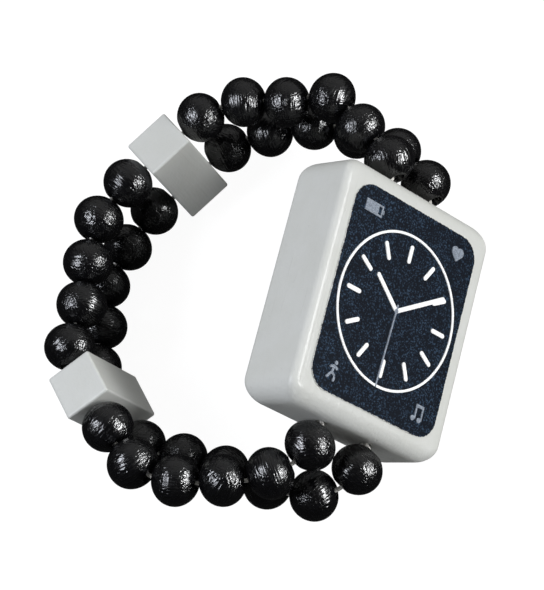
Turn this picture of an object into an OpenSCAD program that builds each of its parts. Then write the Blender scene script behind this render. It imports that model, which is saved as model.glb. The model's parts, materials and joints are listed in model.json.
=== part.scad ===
// Wooden toy watch on a stretchy band: a painted case with a printed dial, two rows of
// round beads and two spacer blocks, all threaded on two loops of elastic.
// It lies as a child leaves it: the band stands on edge and the case leans back on it.
// Origin: on the table, under the middle of the whole watch. +Y is the dial's 12 o'clock.

/* [Case] */
// Width of the case, from 9 to 3 o'clock
case_width = 32.8; // [32:0.1:40]
// Height of the case, from 12 to 6 o'clock
case_height = 40; // [38:0.5:46]
// Thickness of the case, from back to dial
case_thickness = 12; // [11:0.5:15]
// Radius of the case's four corners, seen from the front
case_corner_radius = 3.5; // [3:0.25:5]
// Radius that softens the case's long edges, at 3 and 9 o'clock
case_side_edge = 1.25; // [1:0.25:2]
// Radius that softens the case's short edges, at 12 and 6 o'clock
case_end_edge = 2.75; // [2:0.25:3]
// Depth of the two elastic holes below the dial
hole_depth = 4.7; // [4:0.1:6]
// Distance between the two elastic holes of the case
case_strand_gap = 9.8; // [9.4:0.1:12]
// Diameter of the holes drilled for the elastic in case and spacers
drilled_hole = 2; // [1.8:0.1:2.6]

/* [Printed dial] */
// Width of the dark printed screen
screen_width = 27.5; // [24:0.1:28]
// Height of the dark printed screen
screen_height = 33.7; // [30:0.1:34]
// Corner radius of the printed screen
screen_corner = 3.7; // [1:0.1:5]
// Thickness of each layer of ink
ink_thickness = 0.15; // [0.1:0.05:0.3]
// Radius of the dial's ring, to the middle of its line
ring_radius = 12.4; // [11.5:0.1:12.8]
// Width of the ring's line
ring_line = 0.4; // [0.3:0.05:0.8]
// Distance from the dial's centre to the outer end of the hour marks
mark_reach = 11; // [10:0.1:11.4]
// Length of an hour mark
mark_length = 3; // [2:0.1:3.5]
// Width of the hour marks and of the two hands
mark_width = 0.7; // [0.4:0.05:1]
// Length of the printed hour hand
hour_hand_length = 7; // [5:0.1:7.5]
// Length of the printed minute hand
minute_hand_length = 10.8; // [9:0.1:11]
// Length of the second hand behind the centre
second_hand_tail = 1.1; // [0.8:0.1:2]
// Width of the printed second hand
second_hand_line = 0.28; // [0.2:0.02:0.4]
// Diameter of the dot at the dial's centre
centre_dot = 0.8; // [0.6:0.05:1.2]

/* [Screen symbols] */
// Width of the battery symbol, without its tip
battery_width = 3.7; // [3:0.1:4]
// Height of the battery symbol
battery_height = 1.9; // [1.5:0.1:2.4]
// Width of the heart symbol
heart_width = 3.7; // [2.4:0.1:3.8]
// Height of the walking figure
figure_height = 3.3; // [2.6:0.1:3.6]
// Height of the music note symbol
note_height = 2.8; // [2.2:0.1:3.2]
// Distance from the screen's side edge to the middle of a symbol
symbol_side_inset = 4.2; // [3.2:0.1:4.6]
// Distance from the screen's top or bottom edge to the middle of a symbol
symbol_end_inset = 3.5; // [3:0.1:3.8]
// Width of the lines in the symbols
symbol_line = 0.3; // [0.2:0.02:0.4]

/* [Beads] */
// Diameter of a bead
bead_diameter = 8.2; // [7.6:0.1:9]
// Length of a bead along its hole, between its flat ends
bead_length = 6.9; // [6.2:0.1:7.4]
// Diameter of the flat round each end of a bead's hole
bead_flat = 2.8; // [2.6:0.1:3.4]
// Diameter of the hole through a bead
bead_hole = 2.4; // [2:0.1:2.6]
// Free space between a bead and its neighbour
bead_play = 0.5; // [0.4:0.05:1]

/* [Spacer blocks] */
// Length of a spacer block, across the two strands
spacer_length = 15.5; // [14.5:0.5:18]
// Side of a spacer block's square section
spacer_side = 8; // [7:0.5:10]
// Distance between the two holes of a spacer block
spacer_strand_gap = 10.5; // [10:0.1:12]
// Width of the tiny flats that ease a spacer's edges
spacer_ease = 0.3; // [0.1:0.05:0.6]

/* [Elastic] */
// Diameter of the elastic
elastic_diameter = 0.7; // [0.6:0.05:0.8]
// Diameter of the knot inside the case
knot_diameter = 1.7; // [1.4:0.05:1.75]
// Length of the knot inside the case
knot_length = 3; // [2:0.25:5]

/* [Lying pose] */
// Angle between the dial and an upright wall
lean_angle = 40; // [36:1:46]
// Plan heading of the band through the first spacer
first_heading = -125.5; // [-129:0.5:-122]
// Plan heading of the band through the second spacer
second_heading = -48; // [-51:0.5:-45]
// Outward lean of the spacers' upper ends
spacer_splay = 17; // [14:0.5:20]
// Slope of the band down from the first spacer to the table
first_dip = 7.5; // [6:0.5:9]
// Slope of the band up from the table to the second spacer
second_dip = 9.5; // [8:0.5:11]

/* [Hidden] */
side_beads = 6;
far_beads = 5;
bead_count = far_beads + 2 * side_beads;
bead_pitch = bead_length + bead_play;
side_run = side_beads * bead_pitch + bead_play;
far_run = far_beads * bead_pitch + bead_play + spacer_side;

// Middle of each spacer in plan, as shares of the side run (x) and of the far run (y)
first_place_shares = [-0.935, 0.43];
second_place_shares = [-0.965, -0.47];
// How much higher the second spacer sits, as a share of the bead diameter
second_rise_share = 0.1;
// Share of a run's bend that lies at its start: case to first spacer, between the
// spacers, second spacer to case
upper_bend_shares = [0.47, 0.84, 0.7];
lower_bend_shares = [0.36, 0.69, 0.26];
// Sideways wander of each bead off its smooth run, as a share of the bead diameter
upper_wander_shares = [
    0.08, -0.18, 0.06, -0.18, -0.04, 0.04,
    0.04, 0.1, -0.06, -0.14, 0.04,
    -0.02, 0.12, 0.04, -0.06, 0.02, 0.02];
lower_wander_shares = [
    0.08, 0.12, 0.14, 0.16, 0.06, 0.06,
    0.08, 0, 0, -0.14, 0.08,
    0.12, -0.04, -0.1, -0.06, 0.16, 0.08];

// How far the elastic keeps off a bead's mouth
mouth_ease = 0.06;
curve_steps = 32;
search_steps = 18;
tube_sides = 8;
round_faces = 48;
symbol_faces = 12;
outline_steps = 12;
hour_marks = 12;
hour_hand_turn = 307;
minute_hand_turn = 58;
second_hand_turn = 182;
wood = "#b9bcb9";
ink_dark = "#1b2230";
ink_white = "#f7f7f5";
ink_grey = "#8f99a8";
bead_black = "#161618";
elastic_white = "#e9e7e2";

// Plain vector helpers
function unit(v) = v / norm(v);
function sideways(v) = unit([v.y, -v.x, 0]);
function sum(list, i = 0) = i < len(list) ? list[i] + sum(list, i + 1) : 0;

// The case leans back until its 3 o'clock edge meets the table
rest_height = (case_thickness - case_side_edge) * sin(lean_angle)
    + (case_width / 2 - case_side_edge) * cos(lean_angle) + case_side_edge;

// From the case's own axes (out of the dial, 12 o'clock, 9 o'clock) to the table's
function turned(p) = [
    p.x * cos(lean_angle) - p.z * sin(lean_angle),
    p.y,
    p.x * sin(lean_angle) + p.z * cos(lean_angle)];
function on_table(p) = turned(p) + [0, 0, rest_height];

// Axes of a spacer: up its length, outward from the loop, along the strands
function spacer_axes(heading, dip) =
    let (
        along = [cos(heading) * cos(dip), sin(heading) * cos(dip), -sin(dip)],
        out = sideways(along),
        up = unit(cross(out, along)),
        length_axis = up * cos(spacer_splay) + out * sin(spacer_splay)
    )
    [length_axis, cross(along, length_axis), along];

first_axes = spacer_axes(first_heading, first_dip);
second_axes = spacer_axes(second_heading, -second_dip);

// A strand is +1 for the upper one, on the 9 o'clock side, and -1 for the lower one
function case_hole(strand, end) =
    on_table([-hole_depth, end * case_height / 2, strand * case_strand_gap / 2]);
function spacer_hole(middle, axes, strand, end) =
    middle + axes[0] * strand * spacer_strand_gap / 2 + axes[2] * end * spacer_side / 2;

// A run of the band is a cubic curve that leaves and meets its holes squarely
function curve_point(p0, p1, p2, p3, u) =
    pow(1 - u, 3) * p0 + 3 * pow(1 - u, 2) * u * p1
    + 3 * (1 - u) * u * u * p2 + pow(u, 3) * p3;
function run_curve(from, leave, to, arrive, bend, start_share) = [
    for (i = [0 : curve_steps]) curve_point(
        from,
        from + leave * bend * start_share,
        to - arrive * bend * (1 - start_share),
        to,
        i / curve_steps)];
function curve_length(points) =
    sum([for (i = [1 : len(points) - 1]) norm(points[i] - points[i - 1])]);
function point_along(points, distance, i = 0) =
    let (step = norm(points[i + 1] - points[i]))
    distance <= step || i == len(points) - 2
        ? points[i] + (points[i + 1] - points[i]) * distance / step
        : point_along(points, distance - step, i + 1);

// The bend at which a run is just as long as its beads, found by halving
function fitting_bend(from, leave, to, arrive, start_share, goal, low, high, tries) =
    let (
        middle = (low + high) / 2,
        reached = curve_length(run_curve(from, leave, to, arrive, middle, start_share))
    )
    tries == 0 ? middle
        : reached < goal
            ? fitting_bend(from, leave, to, arrive, start_share, goal, middle, high, tries - 1)
            : fitting_bend(from, leave, to, arrive, start_share, goal, low, middle, tries - 1);
function bead_row(from, leave, to, arrive, start_share, count) =
    let (
        goal = count * bead_pitch + bead_play,
        bend = fitting_bend(
            from, leave, to, arrive, start_share, goal, 0, 1.5 * goal, search_steps),
        points = run_curve(from, leave, to, arrive, bend, start_share),
        stretched = curve_length(points) / goal
    )
    [for (i = [0 : count - 1])
        point_along(points, ((i + 0.5) * bead_pitch + bead_play / 2) * stretched)];

// The spacers are set down so that the lower far beads just rest on the table
first_plan = [first_place_shares.x * side_run, first_place_shares.y * far_run, 0];
second_plan = [
    second_place_shares.x * side_run,
    second_place_shares.y * far_run,
    second_rise_share * bead_diameter];
function far_row(strand, lift, start_share) = bead_row(
    spacer_hole(first_plan + lift, first_axes, strand, 1), first_axes[2],
    spacer_hole(second_plan + lift, second_axes, strand, -1), second_axes[2],
    start_share, far_beads);
set_down = bead_diameter / 2
    - min([for (p = far_row(-1, [0, 0, 0], lower_bend_shares[1])) p.z]);
first_middle = first_plan + [0, 0, set_down];
second_middle = second_plan + [0, 0, set_down];

// Holes and smooth bead places of a whole strand, in order, from 12 to 6 o'clock
function smooth_strand(strand, shares) = concat(
    [case_hole(strand, 1)],
    bead_row(
        case_hole(strand, 1), [0, 1, 0],
        spacer_hole(first_middle, first_axes, strand, -1), first_axes[2],
        shares[0], side_beads),
    [spacer_hole(first_middle, first_axes, strand, -1)],
    [spacer_hole(first_middle, first_axes, strand, 1)],
    far_row(strand, [0, 0, set_down], shares[1]),
    [spacer_hole(second_middle, second_axes, strand, -1)],
    [spacer_hole(second_middle, second_axes, strand, 1)],
    bead_row(
        spacer_hole(second_middle, second_axes, strand, 1), second_axes[2],
        case_hole(strand, -1), [0, 1, 0],
        shares[2], side_beads),
    [case_hole(strand, -1)]);

// Place of bead number 1 to bead_count in such a list
function bead_index(number) =
    number + (number > side_beads ? 2 : 0) + (number > side_beads + far_beads ? 2 : 0);
function wandered(smooth, shares) =
    let (
        moves = [for (n = [1 : bead_count])
            sideways(smooth[bead_index(n) + 1] - smooth[bead_index(n) - 1])
            * shares[n - 1] * bead_diameter],
        places = [for (n = [1 : bead_count]) bead_index(n)]
    )
    [for (i = [0 : len(smooth) - 1])
        let (hit = search(i, places))
        smooth[i] + (len(hit) > 0 ? moves[hit[0]] : [0, 0, 0])];

upper_route = wandered(smooth_strand(1, upper_bend_shares), upper_wander_shares);
lower_route = wandered(smooth_strand(-1, lower_bend_shares), lower_wander_shares);

function bead_place(route, number) = route[bead_index(number)];
function bead_axis(route, number) =
    unit(route[bead_index(number) + 1] - route[bead_index(number) - 1]);

// A bead is an ellipsoid of this half length, cut off flat at each end
bead_crown = bead_length / 2 / sqrt(1 - pow(bead_flat / bead_diameter, 2));

// Half the reach of a bead and of a plain block along a direction
function bead_reach(axis, way) =
    let (
        c = abs(axis * way),
        s = sqrt(max(0, 1 - c * c)),
        whole = sqrt(pow(bead_crown * c, 2) + pow(bead_diameter / 2 * s, 2))
    )
    bead_crown * bead_crown * c > whole * bead_length / 2
        ? bead_length / 2 * c + bead_flat / 2 * s
        : whole;
function block_reach(halves, axes, way) =
    sum([for (i = [0 : 2]) halves[i] * abs(axes[i] * way)]);
case_halves = [case_thickness, case_height, case_width] / 2
    - [1, 1, 1] * case_side_edge;
case_axes = [turned([1, 0, 0]), [0, 1, 0], turned([0, 0, 1])];
case_middle = on_table([-case_thickness / 2, 0, 0]);
spacer_halves = [spacer_length, spacer_side, spacer_side] / 2;
function farthest(way) = max(concat(
    [case_middle * way + block_reach(case_halves, case_axes, way) + case_side_edge],
    [first_middle * way + block_reach(spacer_halves, first_axes, way)],
    [second_middle * way + block_reach(spacer_halves, second_axes, way)],
    [for (route = [upper_route, lower_route], n = [1 : bead_count])
        bead_place(route, n) * way + bead_reach(bead_axis(route, n), way)]));

// The whole watch is moved so that the origin lies under its middle, on the table
to_origin = [
    (farthest([-1, 0, 0]) - farthest([1, 0, 0])) / 2,
    (farthest([0, -1, 0]) - farthest([0, 1, 0])) / 2,
    farthest([0, 0, -1])];

module placed() {
    translate(to_origin) children();
}

// Case axes: x out of the dial, y to 12 o'clock, z to 9 o'clock, zero on the dial face
module in_case() {
    placed() translate([0, 0, rest_height]) rotate([0, -lean_angle, 0]) children();
}

// Flat artwork: x to 3 o'clock, y to 12 o'clock, raised by whole layers of ink
module print_layer(layer) {
    in_case() translate([layer * ink_thickness, 0, 0]) rotate([0, 90, 0])
        linear_extrude(ink_thickness) children();
}

// Turns z to an axis
module aim(axis) {
    rotate([0, acos(axis.z), atan2(axis.y, axis.x)]) children();
}

module rounded_rectangle(size, r) {
    inner = size - [2, 2] * r;
    square([inner.x, size.y], center = true);
    square([size.x, inner.y], center = true);
    for (a = [-0.5, 0.5], b = [-0.5, 0.5])
        translate([a * inner.x, b * inner.y]) circle(r = r, $fn = round_faces);
}

// Every edge is rounded by the profile seen along it; x is the block's thickness
module rounded_block(size, corner, side_edge, end_edge) {
    intersection() {
        linear_extrude(size.z, center = true)
            rounded_rectangle([size.x, size.y], end_edge);
        rotate([90, 0, 0]) linear_extrude(size.y, center = true)
            rounded_rectangle([size.x, size.z], side_edge);
        rotate([0, 90, 0]) linear_extrude(size.x, center = true)
            rounded_rectangle([size.z, size.y], corner);
    }
}

module case_block() {
    color(wood) in_case() difference() {
        translate([-case_thickness / 2, 0, 0])
            rounded_block(
                [case_thickness, case_height, case_width],
                case_corner_radius, case_side_edge, case_end_edge);
        for (strand = [-0.5, 0.5])
            translate([-hole_depth, 0, strand * case_strand_gap]) rotate([90, 0, 0])
                cylinder(
                    h = case_height + case_end_edge, d = drilled_hole,
                    center = true, $fn = round_faces);
    }
}

module screen_print() {
    color(ink_dark) print_layer(0)
        rounded_rectangle([screen_width, screen_height], screen_corner);
}

// A straight stroke of ink with round ends, measured over its ends
module stroke(from, to, width, faces = round_faces) {
    way = unit(to - from) * width / 2;
    reach = norm(to - from) - width;
    translate(from + way) rotate(atan2(way.y, way.x)) {
        translate([0, -width / 2]) square([reach, width]);
        circle(d = width, $fn = faces);
        translate([reach, 0]) circle(d = width, $fn = faces);
    }
}

// A point on the dial, by its turn from 12 o'clock and its distance from the centre
function clock(turn, distance) = [distance * sin(turn), distance * cos(turn)];

module second_hand() {
    stroke(
        clock(second_hand_turn + 180, second_hand_tail),
        clock(second_hand_turn, ring_radius + ring_line / 2), second_hand_line);
    circle(d = centre_dot, $fn = round_faces);
}

module white_print() {
    color(ink_white) print_layer(1) difference() {
        union() {
            difference() {
                circle(r = ring_radius + ring_line / 2, $fn = 2 * round_faces);
                circle(r = ring_radius - ring_line / 2, $fn = 2 * round_faces);
            }
            for (i = [1 : hour_marks])
                stroke(
                    clock(i * 360 / hour_marks, mark_reach - mark_length),
                    clock(i * 360 / hour_marks, mark_reach), mark_width);
            stroke(clock(0, 0), clock(hour_hand_turn, hour_hand_length), mark_width);
            stroke(clock(0, 0), clock(minute_hand_turn, minute_hand_length), mark_width);
        }
        second_hand();
    }
}

// Battery outline with a tip and a three-quarter charge
module battery_symbol() {
    tip = battery_height / 3;
    difference() {
        union() {
            square([battery_width, battery_height], center = true);
            translate([battery_width / 2, -tip / 2]) square([tip / 2, tip]);
        }
        translate([battery_width / 4, -battery_height / 2 + symbol_line])
            square([battery_width / 4 - symbol_line, battery_height - 2 * symbol_line]);
    }
}

// Heart: a square on its corner with a round lobe on each upper side
module heart_symbol() {
    lobe = heart_width / (1 + sqrt(2));
    rotate(45) {
        square(lobe, center = true);
        translate([lobe / 2, 0]) circle(d = lobe, $fn = round_faces);
        translate([0, lobe / 2]) circle(d = lobe, $fn = round_faces);
    }
}

// Striding stick figure, drawn in shares of its height
module figure_symbol() {
    limb = symbol_line * 1.4;
    hip = [-0.02, -0.08] * figure_height;
    neck = [0.06, 0.24] * figure_height;
    knee = [0.2, -0.24] * figure_height;
    translate([0.12, 0.4] * figure_height) circle(d = 0.2 * figure_height, $fn = symbol_faces);
    stroke(hip, neck, limb, symbol_faces);
    stroke(neck, [-0.22, 0.12] * figure_height, limb, symbol_faces);
    stroke(neck, [0.28, 0.1] * figure_height, limb, symbol_faces);
    stroke(hip, knee, limb, symbol_faces);
    stroke(knee, [0.16, -0.5] * figure_height, limb, symbol_faces);
    stroke(hip, [-0.3, -0.42] * figure_height, limb, symbol_faces);
}

// Two notes under one beam, drawn in shares of their height
module note_symbol() {
    head = 0.3 * note_height;
    spread = 0.5 * note_height;
    beam = 0.18 * note_height;
    for (side = [-0.5, 0.5]) {
        translate([side * spread - head / 3, -note_height / 2 + head / 2])
            circle(d = head, $fn = symbol_faces);
        translate([side * spread, -note_height / 2 + head / 2])
            square([symbol_line, note_height - head / 2]);
    }
    translate([-spread / 2, note_height / 2 - beam]) square([spread + symbol_line, beam]);
}

module grey_print() {
    place = [screen_width / 2 - symbol_side_inset, screen_height / 2 - symbol_end_inset];
    color(ink_grey) print_layer(1) {
        second_hand();
        translate([-place.x, place.y]) battery_symbol();
        translate([place.x, place.y]) heart_symbol();
        translate([-place.x, -place.y]) figure_symbol();
        translate([place.x, -place.y]) note_symbol();
    }
}

// A bead: half its outline carried round the hole
module bead(route, number) {
    rim_angle = acos(bead_flat / bead_diameter);
    crown_arc = [for (i = [-outline_steps : outline_steps])
        let (a = rim_angle * i / outline_steps)
        [bead_diameter / 2 * cos(a), bead_crown * sin(a)]];
    outline = concat(
        [[bead_hole, -bead_length] / 2], crown_arc, [[bead_hole, bead_length] / 2]);
    color(bead_black) placed() translate(bead_place(route, number))
        aim(bead_axis(route, number))
            rotate_extrude($fn = round_faces) polygon(outline);
}

module eased_square(side) {
    in = spacer_ease;
    polygon([for (corner = [[1, 1], [-1, 1], [-1, -1], [1, -1]], first = [1, 0])
        let (turn = corner.x * corner.y > 0 ? first : 1 - first)
        [corner.x * (side.x / 2 - in * (1 - turn)), corner.y * (side.y / 2 - in * turn)]]);
}

// Local axes: x up the block, y outward, z along the strands
module spacer(middle, axes) {
    color(wood) placed()
        multmatrix([for (row = [0 : 2]) [axes[0][row], axes[1][row], axes[2][row], middle[row]]])
            difference() {
                intersection() {
                    linear_extrude(spacer_side, center = true)
                        eased_square([spacer_length, spacer_side]);
                    rotate([90, 0, 0]) linear_extrude(spacer_side, center = true)
                        eased_square([spacer_length, spacer_side]);
                    rotate([0, 90, 0]) linear_extrude(spacer_length, center = true)
                        eased_square([spacer_side, spacer_side]);
                }
                for (strand = [-0.5, 0.5])
                    translate([strand * spacer_strand_gap, 0, 0])
                        cylinder(
                            h = 2 * spacer_side, d = drilled_hole,
                            center = true, $fn = round_faces);
            }
}

module first_spacer() {
    spacer(first_middle, first_axes);
}

module second_spacer() {
    spacer(second_middle, second_axes);
}

// Elastic is a tube through rings, each a place and the direction in which it faces
function ring(at) =
    let (across = sideways(at[1]), over = cross(at[1], across))
    [for (i = [0 : tube_sides - 1])
        let (a = 360 * i / tube_sides)
        at[0] + elastic_diameter / 2 * (across * cos(a) + over * sin(a))];
module tube(rings) {
    last = len(rings) - 1;
    polyhedron(
        points = [for (at = rings) each ring(at)],
        faces = concat(
            [for (k = [0 : last - 1], i = [0 : tube_sides - 1])
                let (a = k * tube_sides + i, b = k * tube_sides + (i + 1) % tube_sides)
                each [[a, b, b + tube_sides], [a, b + tube_sides, a + tube_sides]]],
            [[for (i = [tube_sides - 1 : -1 : 0]) i]],
            [[for (i = [0 : tube_sides - 1]) last * tube_sides + i]]));
}

// The places on a route that are holes in the case or a spacer, and their directions
hole_places = [
    0, side_beads + 1, side_beads + 2,
    side_beads + far_beads + 3, side_beads + far_beads + 4, bead_count + 5];
hole_ways = [
    [0, 1, 0], first_axes[2], first_axes[2], second_axes[2], second_axes[2], [0, 1, 0]];
function at_hole(i) = len(search(i, hole_places)) > 0;
function way_at(route, i) =
    at_hole(i) ? hole_ways[search(i, hole_places)[0]]
        : unit(route[i + 1] - route[i - 1]);
function mouth(route, i, end) =
    route[i] + (at_hole(i) ? [0, 0, 0] : way_at(route, i) * end * bead_length / 2);

// The elastic leans in a bead's mouth towards the next hole, as far as it has room
mouth_room = (bead_hole - elastic_diameter) / 2 - mouth_ease;
function mouth_ring(route, i, end) =
    let (
        way = way_at(route, i),
        through = unit(way + way_at(route, i + end)),
        step = mouth(route, i + end, -end) - mouth(route, i, end),
        aside = (step - through * (step * through)) * (at_hole(i + end) ? 1 : 0.5),
        lean = aside * min(1, mouth_room / max(norm(aside), mouth_ease))
    )
    [mouth(route, i, end) + way * (end * mouth_ease - lean * way) + lean, way];

// Rings at the middle of the gap after a route's place, and at a bead's two mouths
function gap_ring(route, i) =
    let (before = mouth_ring(route, i, 1), after = mouth_ring(route, i + 1, -1))
    [(before[0] + after[0]) / 2, unit(before[1] + after[1])];
function bead_rings(route, number) =
    [for (end = [-1, 1]) mouth_ring(route, bead_index(number), end)];

// The stretch that carries one bead of a side run, from gap to gap or to its hole
function stretch(route, number) =
    let (
        i = bead_index(number),
        hole_before = number == 1 || number == side_beads + far_beads + 1,
        hole_after = number == side_beads || number == bead_count,
        way_in = number == 1 ? [0, 1, 0] : second_axes[2],
        way_out = number == bead_count ? [0, 1, 0] : first_axes[2]
    )
    concat(
        [hole_before ? [route[i - 1], way_in] : gap_ring(route, i - 1)],
        bead_rings(route, number),
        [hole_after ? [route[i + 1], way_out] : gap_ring(route, i)]);

module elastic_stretch(number) {
    color(elastic_white) placed() for (route = [upper_route, lower_route])
        tube(stretch(route, number));
}

// One length through both spacers and the beads between them
module elastic_far() {
    from = bead_index(side_beads) + 1;
    to = bead_index(side_beads + far_beads) + 1;
    color(elastic_white) placed() for (route = [upper_route, lower_route])
        tube(concat(
            [[route[from], first_axes[2]], [route[from + 1], first_axes[2]]],
            [for (n = [side_beads + 1 : side_beads + far_beads]) each bead_rings(route, n)],
            [[route[to], second_axes[2]], [route[to + 1], second_axes[2]]]));
}

module along_case_holes() {
    in_case() for (strand = [-0.5, 0.5])
        translate([-hole_depth, 0, strand * case_strand_gap]) rotate([90, 0, 0])
            children();
}

// The two tied ends of each loop lie in the case, from its mouths to the knot
module elastic_case() {
    tail = (case_height - knot_length) / 2;
    color(elastic_white) along_case_holes() for (end = [-0.5, 0.5])
        translate([0, 0, end * (tail + knot_length)])
            cylinder(h = tail, d = elastic_diameter, center = true, $fn = round_faces);
}

module elastic_knots() {
    half_outline = [for (i = [-outline_steps : outline_steps])
        let (a = acos(elastic_diameter / knot_diameter) * i / outline_steps)
        [knot_diameter / 2 * cos(a), knot_length / 2 * sin(a)
            / sin(acos(elastic_diameter / knot_diameter))]];
    color(elastic_white) along_case_holes() rotate_extrude($fn = round_faces)
        polygon(concat([[0, -knot_length / 2]], half_outline, [[0, knot_length / 2]]));
}

case_block();
screen_print();
white_print();
grey_print();
elastic_knots();
first_spacer();
second_spacer();
elastic_case();
elastic_far();
for (i = [1 : side_beads]) {
    elastic_stretch(i);
    elastic_stretch(side_beads + far_beads + i);
}
for (i = [1 : bead_count]) {
    bead(upper_route, i);
    bead(lower_route, i);
}
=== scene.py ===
import json
import math

import bmesh
import bpy
import numpy as np
from mathutils import Matrix, Vector


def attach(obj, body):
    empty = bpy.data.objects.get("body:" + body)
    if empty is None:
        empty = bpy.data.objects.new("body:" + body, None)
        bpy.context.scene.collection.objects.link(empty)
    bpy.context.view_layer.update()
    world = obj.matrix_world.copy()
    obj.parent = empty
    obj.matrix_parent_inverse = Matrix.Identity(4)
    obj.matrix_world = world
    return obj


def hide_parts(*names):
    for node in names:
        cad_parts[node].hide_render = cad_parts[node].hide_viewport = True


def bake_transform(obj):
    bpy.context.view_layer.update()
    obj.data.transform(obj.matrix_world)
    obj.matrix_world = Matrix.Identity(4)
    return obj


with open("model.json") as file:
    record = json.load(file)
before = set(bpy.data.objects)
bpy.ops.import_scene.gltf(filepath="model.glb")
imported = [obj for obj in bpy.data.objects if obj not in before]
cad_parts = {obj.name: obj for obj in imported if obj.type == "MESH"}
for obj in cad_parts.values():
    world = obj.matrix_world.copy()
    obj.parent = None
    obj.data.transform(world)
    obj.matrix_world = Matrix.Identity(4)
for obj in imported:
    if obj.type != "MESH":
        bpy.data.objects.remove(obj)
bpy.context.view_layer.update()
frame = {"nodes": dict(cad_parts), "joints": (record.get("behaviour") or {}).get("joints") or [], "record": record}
nodes = frame["nodes"]
record = frame["record"]
mm = 0.001
rng = np.random.default_rng(7)


# The case leans back; its own axes are worked out from the flat back in the record.
watchCase = {
    "width": 32.8,          # 9 to 3 o'clock
    "height": 40.0,         # 12 to 6 o'clock
    "thickness": 12.0,
    "cornerRadius": 3.5,    # seen from the front
    "sideEdge": 1.25,       # of the long edges, at 3 and 9 o'clock
    "endEdge": 2.75,        # of the short edges, at 12 and 6 o'clock
    "holeDepth": 4.7,       # elastic holes, below the dial
    "holeGap": 9.8,         # between the two holes
    "holeSize": 2.0,
    "roundSteps": 10,       # faces over a quarter turn of an edge or corner
}


# Dial centre in mm and the unit directions of 3 o'clock, 12 o'clock and outwards.
def caseAxes():
    back = next(m for m in record["mounts"] if m["name"] == "case_back")
    outward = -np.array(back["axis"], float)
    twelve = np.array([0.0, 1.0, 0.0])
    three = np.cross(twelve, outward)
    centre = np.array(back["pos_m"], float) / mm + outward * watchCase["thickness"]
    return centre, three, twelve, outward


dialCentre, toThree, toTwelve, outOfDial = caseAxes()


# A place given in mm on the case, as a place in the row frame in mm.
def onCase(three, twelve, out):
    return dialCentre + toThree * three + toTwelve * twelve + outOfDial * out


# Centres in mm and hole directions of a strand's beads, in threading order.
def beadSeats(strand):
    spins = {j["child"]: j for j in frame["joints"] if j["type"] == "hinge"}
    found = []
    while f"{strand}_bead_{len(found) + 1}_turning" in spins:
        found.append(spins[f"{strand}_bead_{len(found) + 1}_turning"])
    centres = np.array([j["pos_m"] for j in found]) / mm
    return centres, np.array([j["axis"] for j in found])


strands = {name: beadSeats(name) for name in ("upper", "lower")}
perSide = sum(1 for name in nodes if name.startswith("elastic_top_"))
print("seats read:", len(strands["upper"][0]), "beads in each strand")


# Centre, directions and full sizes in mm of a drilled block, from its own faces. The
# widest faces give two directions, and the one with holes has less area.
def blockAxes(node):
    mesh = nodes[node].data
    normals = np.array([p.normal for p in mesh.polygons])
    areas = np.array([p.area for p in mesh.polygons])
    first = normals[np.argmax(areas)]
    square = np.abs(normals @ first) < 0.05
    second = normals[square][np.argmax(areas[square])]
    axes = np.array([first, second, np.cross(first, second)])
    points = np.array([v.co for v in mesh.vertices]) / mm
    spread = points @ axes.T
    low, high = spread.min(0), spread.max(0)
    size = high - low
    faceArea = [areas[np.abs(normals @ a) > 0.999].sum() for a in axes]
    long = int(np.argmax(size))
    rest = [i for i in range(3) if i != long]
    drilled = min(rest, key=lambda i: faceArea[i])
    plain = max(rest, key=lambda i: faceArea[i])
    order = [long, plain, drilled]
    axes, size, middle = axes[order], size[order], ((low + high) / 2)[order]
    return middle @ axes, axes, size


# Found by matching the dial's ring and the case corners. The picture's right and up are
# written in the dial's directions: 3 o'clock, 12 o'clock and outwards.
photoCamera = {
    "lens": 145.95,
    "distance": 370.0,        # mm from the dial centre
    "right": (0.7099, 0.2492, 0.6587),
    "up": (-0.3737, 0.9261, 0.0525),
    "aside": (19.07, 2.53),   # dial centre in the view, mm right and down of its middle
}


# Camera whose axes are written in the dial's directions.
def makeCamera():
    dialToRow = np.array([toThree, toTwelve, outOfDial]).T
    right = dialToRow @ np.array(photoCamera["right"])
    right /= np.linalg.norm(right)
    up = dialToRow @ np.array(photoCamera["up"])
    up -= right * (up @ right)
    up /= np.linalg.norm(up)
    back = np.cross(right, up)
    aside = photoCamera["aside"]
    place = (dialCentre - right * aside[0] + up * aside[1]
             + back * photoCamera["distance"])
    data = bpy.data.cameras.new("photoCamera")
    data.lens = photoCamera["lens"]
    data.clip_start, data.clip_end = 0.01, 20.0
    camera = bpy.data.objects.new("photoCamera", data)
    bpy.context.scene.collection.objects.link(camera)
    turn = Matrix([[right[i], up[i], back[i]] for i in range(3)]).to_4x4()
    camera.matrix_world = Matrix.Translation(Vector(place * mm)) @ turn
    bpy.context.scene.camera = camera
    return right, up, back


viewRight, viewUp, viewBack = makeCamera()
print("camera placed")


# sRGB hex to linear RGBA.
def linear(hexColour):
    values = [int(hexColour[i:i + 2], 16) / 255 for i in (0, 2, 4)]
    return [v / 12.92 if v <= 0.04045 else ((v + 0.055) / 1.055) ** 2.4
            for v in values] + [1.0]


# Adds a node. A setting is one of its properties, or an input by its name or number
# written as in_Name; links are (input, output socket) pairs.
def addNode(tree, kind, links=(), **settings):
    node = tree.nodes.new(kind)
    for key, value in settings.items():
        if key.startswith("in_"):
            name = key[3:].replace("_", " ")
            node.inputs[int(name) if name.isdigit() else name].default_value = value
        else:
            setattr(node, key, value)
    for socket, source in links:
        tree.links.new(node.inputs[socket], source)
    return node


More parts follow.
